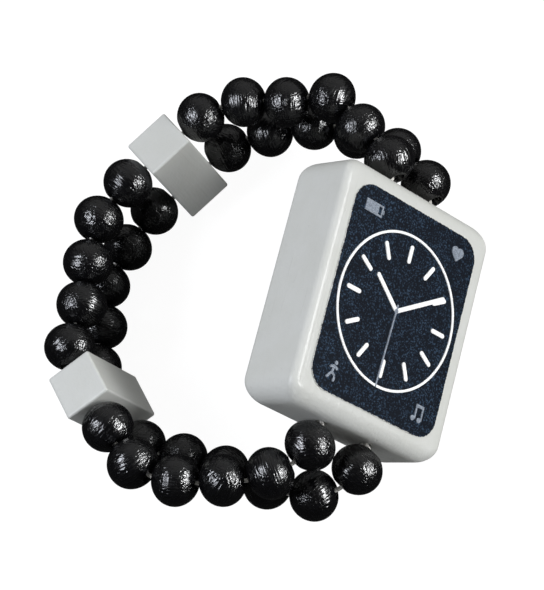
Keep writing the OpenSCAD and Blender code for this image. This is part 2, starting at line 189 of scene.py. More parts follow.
# A material with one Principled shader, and its tree.
def newMaterial(name, **shader):
    material = bpy.data.materials.new(name)
    material.use_nodes = True
    tree = material.node_tree
    tree.nodes.clear()
    surface = addNode(tree, "ShaderNodeBsdfPrincipled")
    for key, value in shader.items():
        surface.inputs[key.replace("_", " ")].default_value = value
    output = addNode(tree, "ShaderNodeOutputMaterial")
    tree.links.new(output.inputs["Surface"], surface.outputs["BSDF"])
    return material, tree, surface


# Object coordinates in mm.
def rowPlace(tree):
    coordinate = addNode(tree, "ShaderNodeTexCoord")
    return addNode(tree, "ShaderNodeVectorMath", [(0, coordinate.outputs["Object"])],
                   operation="SCALE", in_Scale=1 / mm).outputs["Vector"]


# Place in mm in the piece of wood itself, with its grain along x; lathePlace has the
# axis of turning along z.
def woodPlace(tree, kept="woodPlace"):
    return addNode(tree, "ShaderNodeAttribute", attribute_name=kept).outputs["Vector"]


# A place scaled differently along x, y and z, to draw a pattern out.
def stretched(tree, place, scale):
    return addNode(tree, "ShaderNodeVectorMath", [(0, place)],
                   operation="MULTIPLY", in_1=scale).outputs["Vector"]


# Soft noise whose spots are about size mm across.
def noise(tree, place, size, detail=3.0, rough=0.55, warp=0.0):
    return addNode(tree, "ShaderNodeTexNoise", [("Vector", place)],
                   in_Scale=1 / size, in_Detail=detail, in_Roughness=rough,
                   in_Distortion=warp).outputs["Fac"]


# Maps low to high onto start to end, with soft ends.
def between(tree, value, low, high, start=0.0, end=1.0):
    return addNode(tree, "ShaderNodeMapRange", [("Value", value)],
                   interpolation_type="SMOOTHSTEP", in_1=low, in_2=high,
                   in_3=start, in_4=end).outputs["Result"]


# One sum; either side may be a socket or a number.
def maths(tree, operation, first, second):
    node = addNode(tree, "ShaderNodeMath", operation=operation)
    for i, side in enumerate((first, second)):
        if isinstance(side, (int, float)):
            node.inputs[i].default_value = side
        else:
            tree.links.new(node.inputs[i], side)
    return node.outputs["Value"]


# Between two colours; each may be a socket or a hex colour.
def mixColour(tree, amount, first, second):
    node = addNode(tree, "ShaderNodeMix", data_type="RGBA")
    tree.links.new(node.inputs["Factor"], amount)
    for name, side in (("A", first), ("B", second)):
        socket = next(s for s in node.inputs if s.name == name and s.type == "RGBA")
        if isinstance(side, str):
            socket.default_value = linear(side)
        else:
            tree.links.new(socket, side)
    return next(s for s in node.outputs if s.type == "RGBA")


# Raises the surface by height times depth in mm.
def bumped(tree, surface, height, depth, after=None):
    links = [("Height", height)]
    if after is not None:
        links.append(("Normal", after))
    node = addNode(tree, "ShaderNodeBump", links, in_Strength=1.0,
                   in_Distance=depth * mm)
    tree.links.new(surface.inputs["Normal"], node.outputs["Normal"])
    return node.outputs["Normal"]


# Turned hardwood, stained black and dipped in clear lacquer: near black, satin gloss,
# and the raised grain wrinkles the lacquer so that highlights break up.
beadFinish = {
    "black": "040405", "worn": "0c0c0f",
    "grainWidth": 0.33, "grainStretch": 0.13,   # mm across the grain; squeeze along it
    "grainDepth": 0.17,                         # mm
    "tool": 0.34, "toolStretch": 0.1,           # mm between the turning tool's marks
    "toolDepth": 0.15,
    "wrinkle": 0.3, "wrinkleDepth": 0.03,       # mm between lacquer wrinkles, and deep
    "patch": 2.6, "patchEdge": (0.42, 0.58),    # mm; levels where tool marks take over
    "roughness": 0.17,
}


# Black to worn along the grain; roughness is the finish's own plus dull, which grows in
# the pores; and three bumps, one on the other: grain, tool marks, wrinkles.
def blackLacquer():
    material, tree, surface = newMaterial("blackLacqueredWood", IOR=1.72)
    place = woodPlace(tree)
    grain = noise(tree, stretched(tree, place, (beadFinish["grainStretch"], 1, 1)),
                  beadFinish["grainWidth"], 1.5, 0.5)
    wrinkle = noise(tree, stretched(tree, place, (0.55, 1, 1)),
                    beadFinish["wrinkle"], 1, 0.5, 0.5)
    patch = noise(tree, place, beadFinish["patch"], 2)
    tree.links.new(surface.inputs["Base Color"], mixColour(
        tree, between(tree, grain, 0.45, 0.75), beadFinish["black"], beadFinish["worn"]))
    dull = maths(tree, "ADD", between(tree, patch, 0.3, 0.7, -0.03, 0.05),
                 between(tree, grain, 0.35, 0.5, 0.12, 0.0))
    tree.links.new(surface.inputs["Roughness"],
                   maths(tree, "ADD", dull, beadFinish["roughness"]))
    thin = beadFinish["toolStretch"]
    marks = noise(tree, stretched(tree, woodPlace(tree, "lathePlace"), (thin, thin, 1)),
                  beadFinish["tool"], 1, 0.5)
    low, high = beadFinish["patchEdge"]
    marks = maths(tree, "MULTIPLY", marks, between(tree, patch, low, high, 0.1, 1.0))
    lines = maths(tree, "MULTIPLY", grain, between(tree, patch, low, high, 1.0, 0.4))
    raised = bumped(tree, surface, lines, beadFinish["grainDepth"])
    raised = bumped(tree, surface, marks, beadFinish["toolDepth"], after=raised)
    bumped(tree, surface, wrinkle, beadFinish["wrinkleDepth"], after=raised)
    return material


# Close-grained hardwood under one thin coat of satin grey paint: the coat shows a
# faint brush mottle, telegraphed grain lines and a few dimples.
paintFinish = {
    "grey": "cbccc8", "warm": "c8c9c4", "dark": "b6b6b0",
    "grainWidth": 0.35, "grainStretch": 0.035, "grainDepth": 0.035,
    "mottle": 5.5,                              # mm, like the widths and depths
    "peel": 0.9, "peelDepth": 0.06,
    "dimple": 3.2, "dimpleDepth": 0.05,         # mm between dimples
    "roughness": 0.36,
}


# Grey to warm in the mottle, darker along the grain; three bumps, one on the other.
def greyPaint():
    material, tree, surface = newMaterial("satinGreyPaint", IOR=1.42)
    place = woodPlace(tree)
    grain = noise(tree, stretched(tree, place, (paintFinish["grainStretch"], 1, 1)),
                  paintFinish["grainWidth"], 3)
    mottle = noise(tree, place, paintFinish["mottle"], 3)
    peel = noise(tree, place, paintFinish["peel"], 2)
    spots = addNode(tree, "ShaderNodeTexVoronoi", [("Vector", place)],
                    in_Scale=1 / paintFinish["dimple"]).outputs["Distance"]
    dimple = between(tree, spots, 0.0, 0.09, 0.0, 1.0)
    tone = mixColour(tree, between(tree, mottle, 0.35, 0.7),
                     paintFinish["grey"], paintFinish["warm"])
    tone = mixColour(tree, between(tree, grain, 0.58, 0.85, 0.0, 0.55), tone,
                     paintFinish["dark"])
    tree.links.new(surface.inputs["Base Color"], tone)
    tree.links.new(surface.inputs["Roughness"], between(
        tree, mottle, 0.3, 0.7, paintFinish["roughness"] - 0.01,
        paintFinish["roughness"] + 0.02))
    raised = bumped(tree, surface, grain, paintFinish["grainDepth"])
    raised = bumped(tree, surface, peel, paintFinish["peelDepth"], after=raised)
    bumped(tree, surface, dimple, paintFinish["dimpleDepth"], after=raised)
    return material


# Place in mm on the dial: x to 3 o'clock, y to 12 o'clock, z outwards.
def dialPlace(tree):
    place = rowPlace(tree)
    parts = [addNode(tree, "ShaderNodeVectorMath", [(0, addNode(
        tree, "ShaderNodeVectorMath", [(0, place)], operation="SUBTRACT",
        in_1=tuple(dialCentre)).outputs["Vector"])],
        operation="DOT_PRODUCT", in_1=tuple(way)).outputs["Value"]
        for way in (toThree, toTwelve, outOfDial)]
    return addNode(tree, "ShaderNodeCombineXYZ",
                   [("X", parts[0]), ("Y", parts[1]), ("Z", parts[2])]).outputs["Vector"]


# Pad printing ink: matt, a little grainy, and nibbled where it ends on the paint.
screenInk = {
    "blueBlack": "040d19", "speck": "32465c", "speckSize": 0.26,
    "width": 27.5, "height": 33.7, "corner": 3.7,
    "bite": 0.22, "biteSize": 0.45,             # mm deep and across
    "mottle": 4.0, "depth": 0.02,               # mm
}


# Blue-black with specks where the noise is high; bare paint where distance past the
# corner centres plus the bites is more than the corner radius.
def darkInk():
    material, tree, surface = newMaterial(
        "darkPrintingInk", IOR=1.48, Specular_IOR_Level=0.08)
    place = dialPlace(tree)
    fine = noise(tree, place, screenInk["speckSize"], 1, 0.5)
    broad = noise(tree, place, screenInk["mottle"], 3)
    amount = maths(tree, "ADD", fine, maths(tree, "MULTIPLY", broad, 0.25))
    tone = mixColour(tree, between(tree, amount, 0.62, 0.9), screenInk["blueBlack"],
                     screenInk["speck"])
    half = [screenInk["width"] / 2 - screenInk["corner"],
            screenInk["height"] / 2 - screenInk["corner"], 1000.0]
    folded = addNode(tree, "ShaderNodeVectorMath", [(0, place)], operation="ABSOLUTE")
    past = addNode(tree, "ShaderNodeVectorMath", [(0, folded.outputs["Vector"])],
                   operation="SUBTRACT", in_1=half)
    outside = addNode(tree, "ShaderNodeVectorMath", [(0, past.outputs["Vector"])],
                      operation="MAXIMUM", in_1=(0, 0, 0))
    reach = addNode(tree, "ShaderNodeVectorMath", [(0, outside.outputs["Vector"])],
                    operation="LENGTH").outputs["Value"]
    nibble = noise(tree, place, screenInk["biteSize"], 3, 0.7)
    edge = maths(tree, "ADD", reach, maths(tree, "MULTIPLY", nibble, 2 * screenInk["bite"]))
    bare = between(tree, edge, screenInk["corner"] + screenInk["bite"] * 0.55,
                   screenInk["corner"] + screenInk["bite"] * 0.95)
    tree.links.new(surface.inputs["Base Color"],
                   mixColour(tree, bare, tone, paintFinish["grey"]))
    tree.links.new(surface.inputs["Roughness"], between(tree, fine, 0.3, 0.7, 0.5, 0.62))
    bumped(tree, surface, fine, screenInk["depth"])
    return material


# Opaque white ink, flat and barely mottled, and white ink laid so thin that the dark ink
# shows through it in specks. Noise is size, detail and roughness; from and to are its
# levels at the two tones; depth is in mm.
upperInks = {
    "whitePrintingInk": {"noise": (0.3, 2, 0.55), "from": 0.3, "to": 0.75,
                         "tones": ("fdfdfb", "eeeff0"), "depth": 0.015},
    "thinGreyInk": {"noise": (0.24, 3, 0.7), "from": 0.38, "to": 0.66,
                    "tones": ("626c7a", "929ca9"), "depth": 0.015},
}


# From the first tone to the second as the noise rises from one level to the other.
def upperInk(name):
    ink = upperInks[name]
    material, tree, surface = newMaterial(name, IOR=1.48, Roughness=0.5)
    fine = noise(tree, dialPlace(tree), *ink["noise"])
    tree.links.new(surface.inputs["Base Color"], mixColour(
        tree, between(tree, fine, ink["from"], ink["to"]), *ink["tones"]))
    bumped(tree, surface, fine, ink["depth"])
    return material


# Rubber thread in a braided polyester cover: off-white, soft, ribbed by the braid, with painted shade darkening
# the hollows between the ribs.
braidFinish = {"shadedHollow": "c9c6bd", "crown": "f1efe9", "lean": 0.7, "ribs": 0.55,
               "depth": 0.06}


# The higher of two waves that lean opposite ways over the cord's own map, whose units
# are mm along and quarter turns around.
def braidedElastic():
    material, tree, surface = newMaterial(
        "braidedElastic", IOR=1.45, Roughness=0.75, Sheen_Weight=0.3,
        Sheen_Roughness=0.5)
    uv = addNode(tree, "ShaderNodeUVMap", uv_map="alongCord").outputs["UV"]
    waves = [addNode(tree, "ShaderNodeTexWave", [("Vector", addNode(
        tree, "ShaderNodeMapping", [("Vector", uv)],
        in_Rotation=(0, 0, lean)).outputs["Vector"])],
        in_Scale=braidFinish["ribs"]).outputs["Fac"]
        for lean in (braidFinish["lean"], -braidFinish["lean"])]
    braid = maths(tree, "MAXIMUM", waves[0], waves[1])
    # painted shade: the low, hollow parts of the braid are coloured darker than its off-white crowns
    tree.links.new(surface.inputs["Base Color"], mixColour(
        tree, between(tree, braid, 0.2, 0.9), braidFinish["shadedHollow"],
        braidFinish["crown"]))
    bumped(tree, surface, braid, braidFinish["depth"])
    return material


# A smooth mesh object from an array of points in mm and a list of faces.
def pieceFromArrays(name, points, faces):
    mesh = bpy.data.meshes.new(name)
    mesh.from_pydata((np.asarray(points) * mm).tolist(), [], [list(f) for f in faces])
    mesh.validate()
    mesh.polygons.foreach_set("use_smooth", np.ones(len(mesh.polygons), bool))
    piece = bpy.data.objects.new(name, mesh)
    bpy.context.scene.collection.objects.link(piece)
    return piece


# Quads between neighbours on a grid of points numbered row by row.
def gridFaces(rows, columns, closedRows=False, closedColumns=False):
    r = np.arange(rows if closedRows else rows - 1)
    c = np.arange(columns if closedColumns else columns - 1)
    r, c = [a.ravel() for a in np.meshgrid(r, c, indexing="ij")]
    nextR, nextC = (r + 1) % rows, (c + 1) % columns
    return np.stack([r * columns + c, r * columns + nextC,
                     nextR * columns + nextC, nextR * columns + c], axis=1)


# Keeps each point's place in its own piece of wood, for the grain.
def setWoodPlace(piece, local, kept="woodPlace"):
    attribute = piece.data.attributes.new(kept, "FLOAT_VECTOR", "POINT")
    attribute.data.foreach_set("vector", np.asarray(local, np.float32).ravel())


# Gives a piece its material and body, and hides the nodes it stands in for. The slot is not used.
def finished(piece, material, slot, body, *replaced):
    piece.data.materials.clear()
    piece.data.materials.append(material)
    if body:
        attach(piece, body)
    if replaced:
        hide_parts(*replaced)


# Points and faces of a block whose outline seen along z has round corners and whose rim
# is rounded, by edges[0] on its x sides turning into edges[1] on its y ends. A point at
# longitude and latitude lies at its corner's centre plus corner - edge + edge *
# cos(latitude) outwards and edge * sin(latitude) up; extra rows and columns just inside
# the flats keep their shading flat.
def roundedBlock(size, corner, edges, steps, inset=0.15):
    hx, hy = size[0] / 2 - corner, size[1] / 2 - corner
    corners = [(1, 1), (-1, 1), (-1, -1), (1, -1)]
    angles, cornerX, cornerY = [], [], []
    for quarter, (sx, sy) in enumerate(corners):
        turn = (quarter + np.linspace(0, 1, steps + 1)) * math.pi / 2
        angles.append(turn)
        cornerX.append(np.full(steps + 1, sx * hx))
        cornerY.append(np.full(steps + 1, sy * hy))
        along = np.array([-math.sin(turn[-1]), math.cos(turn[-1])])
        nextCorner = corners[(quarter + 1) % 4]
        length = abs((nextCorner[0] - sx) * hx * along[0]
                     + (nextCorner[1] - sy) * hy * along[1])
        for slide in (inset, length - inset):
            angles.append(turn[-1:])
            cornerX.append([sx * hx + along[0] * slide])
            cornerY.append([sy * hy + along[1] * slide])
    lon = np.concatenate(angles)
    baseX, baseY = np.concatenate(cornerX), np.concatenate(cornerY)
    edge = edges[0] + (edges[1] - edges[0]) * np.sin(lon) ** 2
    rise = np.linspace(0, math.pi / 2, steps + 1)
    lat = np.concatenate([-rise[::-1], [0, 0], rise])[:, None]
    face = np.repeat([-1, 1], steps + 2)[:, None]
    inner = np.zeros((len(lat), 1))
    inner[[steps + 1, steps + 2], 0] = inset, -inset
    ring = corner - edge + edge * np.cos(lat)
    x = baseX + ring * np.cos(lon)
    y = baseY + ring * np.sin(lon)
    z = face * (size[2] / 2 - edge) + inner + edge * np.sin(lat)
    points = np.stack([x, y, z], axis=2).reshape(-1, 3)
    columns = len(lon)
    faces = gridFaces(len(lat), columns, closedColumns=True).tolist()
    faces.append(list(range(columns))[::-1])
    faces.append([(len(lat) - 1) * columns + i for i in range(columns)])
    return points, faces


drilling = {"around": 40, "sharpOver": 32}      # faces round a hole; degrees


# A rounded block with straight holes cut through it. Its own x, y and z go to the three
# axes about the centre; holes are (axis, place) pairs in its own frame, and grain
# numbers its axes with the wood's length first.
def drilledBlock(name, size, radii, steps, holes, holeSize, centre, axes, grain):
    points, faces = roundedBlock(size, *radii, steps)
    piece = pieceFromArrays(name, points, faces)
    clean(piece)
    count = drilling["around"]
    turn = np.arange(count) * 2 * math.pi / count
    for axis, place in holes:
        ring = np.zeros((2, count, 3))
        others = [i for i in range(3) if i != axis]
        ring[:, :, others[0]] = np.cos(turn) * holeSize / 2
        ring[:, :, others[1]] = np.sin(turn) * holeSize / 2
        ring[0, :, axis], ring[1, :, axis] = -size[axis], size[axis]
        ring += np.array(place)
        sides = gridFaces(2, count, closedColumns=True).tolist()
        sides += [list(range(count)), [count + i for i in range(count)][::-1]]
        drill = pieceFromArrays("drill", ring.reshape(-1, 3), sides)
        clean(drill)
        cut = piece.modifiers.new("hole", "BOOLEAN")
        cut.operation, cut.solver, cut.object = "DIFFERENCE", "EXACT", drill
        graph = bpy.context.evaluated_depsgraph_get()
        mesh = bpy.data.meshes.new_from_object(piece.evaluated_get(graph))
        piece.modifiers.clear()
        piece.data = mesh
        bpy.data.objects.remove(drill)
    mesh = piece.data
    local = np.zeros(len(mesh.vertices) * 3)
    mesh.vertices.foreach_get("co", local)
    local = local.reshape(-1, 3)
    setWoodPlace(piece, local[:, list(grain)] / mm)
    placed = centre * mm + local @ np.array(axes)
    mesh.vertices.foreach_set("co", placed.ravel())
    mesh.update()
    mesh.polygons.foreach_set("use_smooth", np.ones(len(mesh.polygons), bool))
    mesh.set_sharp_from_angle(angle=math.radians(drilling["sharpOver"]))
    return piece


# Merges doubled points and turns the faces outwards.
def clean(piece):
    work = bmesh.new()
    work.from_mesh(piece.data)
    bmesh.ops.remove_doubles(work, verts=work.verts, dist=1e-7)
    bmesh.ops.dissolve_degenerate(work, edges=work.edges, dist=1e-8)
    bmesh.ops.recalc_face_normals(work, faces=work.faces)
    work.to_mesh(piece.data)
    work.free()


paint = greyPaint()
caseCentre = onCase(0, 0, -watchCase["thickness"] / 2)
caseBlock = drilledBlock(
    "paintedCase",
    (watchCase["width"], watchCase["height"], watchCase["thickness"]),
    (watchCase["cornerRadius"], (watchCase["sideEdge"], watchCase["endEdge"])),
    watchCase["roundSteps"],
    [(1, (side * watchCase["holeGap"] / 2, 0,
          watchCase["thickness"] / 2 - watchCase["holeDepth"])) for side in (-1, 1)],
    watchCase["holeSize"], caseCentre, (toThree, toTwelve, outOfDial), (1, 0, 2))
finished(caseBlock, paint, "grey_paint", "case", "case_block")
print("case made")

spacerBlock = {"edgeRadius": 0.35, "strandGap": 10.5, "holeSize": 2.0, "roundSteps": 3}
spacerSeats = {}
for node in ("first_spacer", "second_spacer"):
    centre, axes, size = blockAxes(node)
    if axes[0][2] < 0:
        axes[0] = -axes[0]
    spacerSeats[node] = (centre, axes, size)
    block = drilledBlock(
        "painted" + node.split("_")[0].title() + "Spacer", size,
        (spacerBlock["edgeRadius"], [spacerBlock["edgeRadius"]] * 2),
        spacerBlock["roundSteps"],
        [(2, (side * spacerBlock["strandGap"] / 2, 0, 0)) for side in (-1, 1)],
        spacerBlock["holeSize"], centre, axes, (0, 1, 2))
    finished(block, paint, "grey_paint", "far_band", node)
print("spacers made")


turnedBead = {
    "diameter": 8.2, "length": 6.9, "hole": 2.4, "flat": 2.8,
    "apart": 0.07, "mostRoom": 0.22,    # gap kept between ends, and most added to one
    "lumps": 0.004,         # share of the radius by which the turning wanders
    "rimEase": 0.12,        # rounding of the hole's mouth
    "around": 56, "arc": 22,
    "farOff": 400.0,        # mm that part the grains of two beads
}


# Half outline as (radius, height): down the hole, out over the lower flat, up the
# crown, which is an ellipse cut at the flats, and in over the upper flat.
def beadOutline():
    b = turnedBead
    r, h = b["diameter"] / 2, b["length"] / 2
    crown = h / math.sqrt(1 - (b["flat"] / b["diameter"]) ** 2)
    rim = math.acos(b["flat"] / b["diameter"])
    angle = np.linspace(-rim, rim, b["arc"])
    arc = np.stack([r * np.cos(angle), crown * np.sin(angle)], axis=1)
    hole = b["hole"] / 2
    ease = b["rimEase"]
    bore = np.array([[hole, h - ease], [hole, 0.0], [hole, -h + ease]])
    foot = np.array([[hole + ease * 0.3, -h + ease * 0.3], [hole + ease, -h]])
    head = foot[::-1] * [1, -1]
    return np.concatenate([bore, foot, arc, head])


# Half the reach of a bead along a direction: an ellipsoid's square root of (crown
# cos)^2 + (radius sin)^2, or the flat's rim where the direction meets it.
def beadReach(axis, way):
    b = turnedBead
    c = abs(axis @ way)
    s = math.sqrt(max(0.0, 1 - c * c))
    half = b["length"] / 2
    crown = half / math.sqrt(1 - (b["flat"] / b["diameter"]) ** 2)
    whole = math.hypot(crown * c, b["diameter"] / 2 * s)
    return half * c + b["flat"] / 2 * s if crown * crown * c > whole * half else whole


# How much each bead end can grow towards its neighbour. The gap is the largest found
# along directions between the line of centres and past the holes' mean direction; two
# beads share it, and a block leaves it all to the bead.
def endRooms(stops):
    rooms = np.zeros((len(stops), 2))
    for k in range(len(stops) - 1):
        (place, way, half), (other, otherWay, otherHalf) = stops[k], stops[k + 1]
        step = other - place
        if not half and not otherHalf:
            continue
        if half and otherHalf:
            line = step / np.linalg.norm(step)
            mean = (way + otherWay) / np.linalg.norm(way + otherWay)
            gap = -9.0
            for share in np.linspace(-0.5, 2.5, 25):
                look = line + (mean - line) * share
                look /= np.linalg.norm(look)
                gap = max(gap, step @ look - beadReach(way, look)
                          - beadReach(otherWay, look))
            rooms[k, 1] = rooms[k + 1, 0] = max(0.0, (gap - turnedBead["apart"]) / 2)
        else:
            flat = otherWay if half else way
            gap = step @ flat - beadReach(way if half else otherWay, flat)
            rooms[(k, 1) if half else (k + 1, 0)] = max(0.0, gap - turnedBead["apart"])
    return np.minimum(rooms, turnedBead["mostRoom"])


# The outline carried round the hole's axis, its radius swelling a little by slow waves
# round and along the bead, as hand-fed turning leaves it. Each half is drawn out to the
# room at its end.
def makeBead(name, centre, axis, rooms):
    outline = beadOutline()
    turn = np.arange(turnedBead["around"]) * 2 * math.pi / turnedBead["around"]
    radius, height = outline[:, 0][:, None], outline[:, 1][:, None]
    phase = rng.uniform(0, 2 * math.pi, 4)
    wave = (np.cos(2 * turn + phase[0]) + 0.7 * np.cos(3 * turn + phase[1])
            * np.cos(height / 2 + phase[2]) + 0.5 * np.cos(height * 0.9 + phase[3]))
    swell = 1 + turnedBead["lumps"] * (wave - 1.6) * (radius > turnedBead["flat"] / 2)
    x = radius * swell * np.cos(turn)
    y = radius * swell * np.sin(turn)
    longer = 1 + np.where(height < 0, rooms[0], rooms[1]) / (turnedBead["length"] / 2)
    z = np.broadcast_to(height * longer, x.shape)
    local = np.stack([x, y, z], axis=2).reshape(-1, 3)
    across = np.cross(axis, [0.0, 0.0, 1.0])
    across /= np.linalg.norm(across)
    over = np.cross(axis, across)
    spin = rng.uniform(0, 2 * math.pi)
    first = across * math.cos(spin) + over * math.sin(spin)
    second = np.cross(axis, first)
    points = centre + local @ np.array([first, second, axis])
    faces = gridFaces(len(outline), turnedBead["around"], True, True)
    piece = pieceFromArrays(name, points, faces[:, ::-1])
    # the wood's own grain runs some random way through the bead
    grain = rng.normal(size=3)
    grain /= np.linalg.norm(grain)
    side = np.cross(grain, [0.31, 0.52, 0.8])
    side /= np.linalg.norm(side)
    turned = local @ np.array([grain, side, np.cross(grain, side)]).T
    off = turnedBead["farOff"]
    setWoodPlace(piece, turned + rng.uniform(-off, off, 3))
    setWoodPlace(piece, local + rng.uniform(-off, off, 3), "lathePlace")
    return piece


# Middle of a spacer's hole for a strand, and its two mouths in threading order.
def spacerHole(seat, strand, towards):
    centre, axes, size = seat
    away = 1 if strand == "upper" else -1
    middle = centre + axes[0] * away * spacerBlock["strandGap"] / 2
    way = axes[2] if axes[2] @ towards > 0 else -axes[2]
    return middle - way * size[2] / 2, middle, middle + way * size[2] / 2, way


# Everything a strand is threaded through, as (place, way, half length): half length 0
# is the mouth of a fixed hole.
def strandStops(strand):
    centres, axes = strands[strand]
    first = spacerHole(spacerSeats["first_spacer"], strand, axes[perSide])
    second = spacerHole(spacerSeats["second_spacer"], strand, axes[-perSide])
    side = upSign[strand] * watchCase["holeGap"] / 2
    mouths = [onCase(side, end * watchCase["height"] / 2, -watchCase["holeDepth"])
              for end in (1, -1)]
    half = turnedBead["length"] / 2
    beads = [(c, a, half) for c, a in zip(centres, axes)]
    return [(mouths[0], toTwelve, 0), *beads[:perSide], (first[0], first[3], 0),
            (first[2], first[3], 0), *beads[perSide:-perSide], (second[0], second[3], 0),
            (second[2], second[3], 0), *beads[-perSide:], (mouths[1], toTwelve, 0)]


upSign = {"upper": -1, "lower": 1}      # towards 9 or 3 o'clock in the case
lacquer = blackLacquer()
stops, rooms = {}, {}
for strand in strands:
    stops[strand] = strandStops(strand)
    rooms[strand] = endRooms(stops[strand])
    number = 0
    for (place, way, half), room in zip(stops[strand], rooms[strand]):
        if half:
            number += 1
            node = f"{strand}_bead_{number}"
            bead = makeBead(f"{strand}Bead{number}", place, way, room)
            finished(bead, lacquer, "black_lacquer", node + "_turning", node)
    print(strand, "beads made; ends drawn out by", rooms[strand].max().round(2),
          "mm at most")


elasticCord = {
    "diameter": 0.7, "around": 12, "step": 0.25, "eased": 0.5,
    "offWall": 0.06,        # room kept to the wall of a bead's hole
    "insideCase": 17.0,     # from the case's end to the knot
}


# Straight runs between the points, sampled every step mm; each sample is the mean of
# those beside it within the eased length, which rounds the corners.
def smoothPath(points, step):
    points = np.asarray(points, float)
    gaps = np.linalg.norm(np.diff(points, axis=0), axis=1)
    at = np.concatenate([[0], np.cumsum(gaps)])
    places = np.linspace(0, at[-1], int(at[-1] / step) + 1)
    path = np.stack([np.interp(places, at, points[:, k]) for k in range(3)], axis=1)
    for _ in range(int(elasticCord["eased"] / step)):
        path[1:-1] = (path[:-2] + path[1:-1] + path[2:]) / 3
    return path


# The map the braid follows, from u around and v along at each point.
def setCordMap(piece, u, v):
    index = np.zeros(len(piece.data.loops), int)
    piece.data.loops.foreach_get("vertex_index", index)
    layer = piece.data.uv_layers.new(name="alongCord")
    layer.data.foreach_set("uv", np.stack([u[index], v[index]], axis=1).ravel())


# A round cord: a circle carried square to its path, with slightly narrowed ends.
def makeCord(name, points, material):
    path = smoothPath(points, elasticCord["step"])
    way = np.gradient(path, axis=0)
    way /= np.linalg.norm(way, axis=1)[:, None]
    across = np.cross(way, [0.0, 0.0, 1.0])
    across /= np.linalg.norm(across, axis=1)[:, None]
    over = np.cross(way, across)
    turn = np.linspace(0, 2 * math.pi, elasticCord["around"] + 1)
    radius = np.full(len(path), elasticCord["diameter"] / 2)
    radius[[0, -1]] *= 0.6
    rings = (path[:, None, :] + radius[:, None, None]
             * (across[:, None, :] * np.cos(turn)[None, :, None]
                + over[:, None, :] * np.sin(turn)[None, :, None]))
    rows, columns = len(path), len(turn)
    faces = gridFaces(rows, columns).tolist()
    faces.append(list(range(columns - 1))[::-1])
    faces.append([(rows - 1) * columns + i for i in range(columns - 1)])
    piece = pieceFromArrays(name, rings.reshape(-1, 3), faces)
    along = np.concatenate([[0], np.cumsum(np.linalg.norm(np.diff(path, axis=0), axis=1))])
    setCordMap(piece, np.tile(np.arange(columns) / elasticCord["around"] * 4, rows),
               np.repeat(along, columns))
    clean(piece)
    return piece


# Where the cord passes each mouth of a strand's stops. In a bead's mouth it leans
# towards the next mouth, by half the sideways step to a bead or all of it to a fixed
# hole, as far as it has room.
def threaded(stops):
    clear = elasticCord["offWall"]
    room = (turnedBead["hole"] - elasticCord["diameter"]) / 2 - clear
    points = []
    for k, (place, way, half) in enumerate(stops):
        if half == 0:
            points.append([place])
            continue
        pair = []
        for end in (-1, 1):
            other, otherWay, otherHalf = stops[k + end]
            through = (way + otherWay) / np.linalg.norm(way + otherWay)
            own = place + way * end * half
            step = other - otherWay * end * otherHalf - own
            aside = (step - through * (step @ through)) * (0.5 if otherHalf else 1.0)
            lean = aside * min(1.0, room / max(np.linalg.norm(aside), 1e-6))
            pair.append(own + lean + way * (end * clear - lean @ way))
        points.append(pair)
    return points


elastic = braidedElastic()
knot = {"length": 3.0, "diameter": 1.7, "cord": 0.34, "inset": 0.36,    # cord: radius
        "along": 96, "around": 10}
cordRuns, mouths, ports = {}, [], []
pull = np.array([-1.0, 0.0, -0.5])      # the way the side cords stretch
for strand in strands:
    passed = threaded(stops[strand])
    runs = [[p for pair in part for p in pair] for part in (
        passed[:perSide + 2], passed[perSide + 2:-perSide - 2], passed[-perSide - 2:])]
    inFirst, inSecond = [(a[-1] + b[0]) / 2 for a, b in zip(runs, runs[1:])]
    inward = toTwelve * elasticCord["insideCase"]
    tied = [runs[0][0] - inward, runs[2][-1] + inward]
    mouths += [runs[0][0] @ pull, runs[2][-1] @ pull]
    ports += [runs[0][-1] @ pull, runs[2][0] @ pull]
    cordRuns[strand] = {"Top": [tied[0], *runs[0], inFirst],
                        "Far": [inFirst, *runs[1], inSecond],
                        "Bottom": [inSecond, *runs[2], tied[1]]}

# Cords for each strand's runs: the far run goes with the far band; the side runs, between the case's holes and the
# spacers', stay fixed in place
sideNodes = {"Top": [n for n in nodes if n.startswith("elastic_top_")],
             "Bottom": [n for n in nodes if n.startswith("elastic_bottom_")]}
for strand in strands:
    for run, path in cordRuns[strand].items():
        cord = makeCord(f"{strand}Cord{run}", path, elastic)
        if run == "Far":
            finished(cord, elastic, "elastic_cord", "far_band", "elastic_far")
        else:
            finished(cord, elastic, "elastic_cord", None, "elastic_case", *sideNodes[run])
            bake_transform(cord)
print("elastic threaded")


# An overhand knot drawn tight: a thick cord along a small trefoil, stretched along the
# hole and set in the middle of it.
def makeKnot(name, side):
    turn = np.linspace(0, 2 * math.pi, knot["along"] + 1)[:-1]
    across = knot["diameter"] / 2 - knot["inset"]
    path = np.stack([across * (np.sin(turn) + 2 * np.sin(2 * turn)) / 3,
                     (knot["length"] / 2 - knot["inset"]) * np.sin(3 * turn),
                     across * (np.cos(turn) - 2 * np.cos(2 * turn)) / 3], axis=1)
    way = np.roll(path, -1, axis=0) - np.roll(path, 1, axis=0)
    way /= np.linalg.norm(way, axis=1)[:, None]
    first = np.cross(way, [0.2, 0.3, 0.93])
    first /= np.linalg.norm(first, axis=1)[:, None]
    second = np.cross(way, first)
    columns = knot["around"]
    ring = (np.arange(columns) * 2 * math.pi / columns)[None, :, None]
    points = path[:, None, :] + knot["cord"] * (
        first[:, None, :] * np.cos(ring) + second[:, None, :] * np.sin(ring))
    local = points.reshape(-1, 3)
    centre = onCase(side * watchCase["holeGap"] / 2, 0, -watchCase["holeDepth"])
    placed = centre + local @ np.array([toThree, toTwelve, outOfDial])
    piece = pieceFromArrays(name, placed, gridFaces(len(path), columns, True, True))
    number = np.arange(len(placed))
    setCordMap(piece, number % columns * 0.4, number // columns * 0.12)
    clean(piece)
    return piece


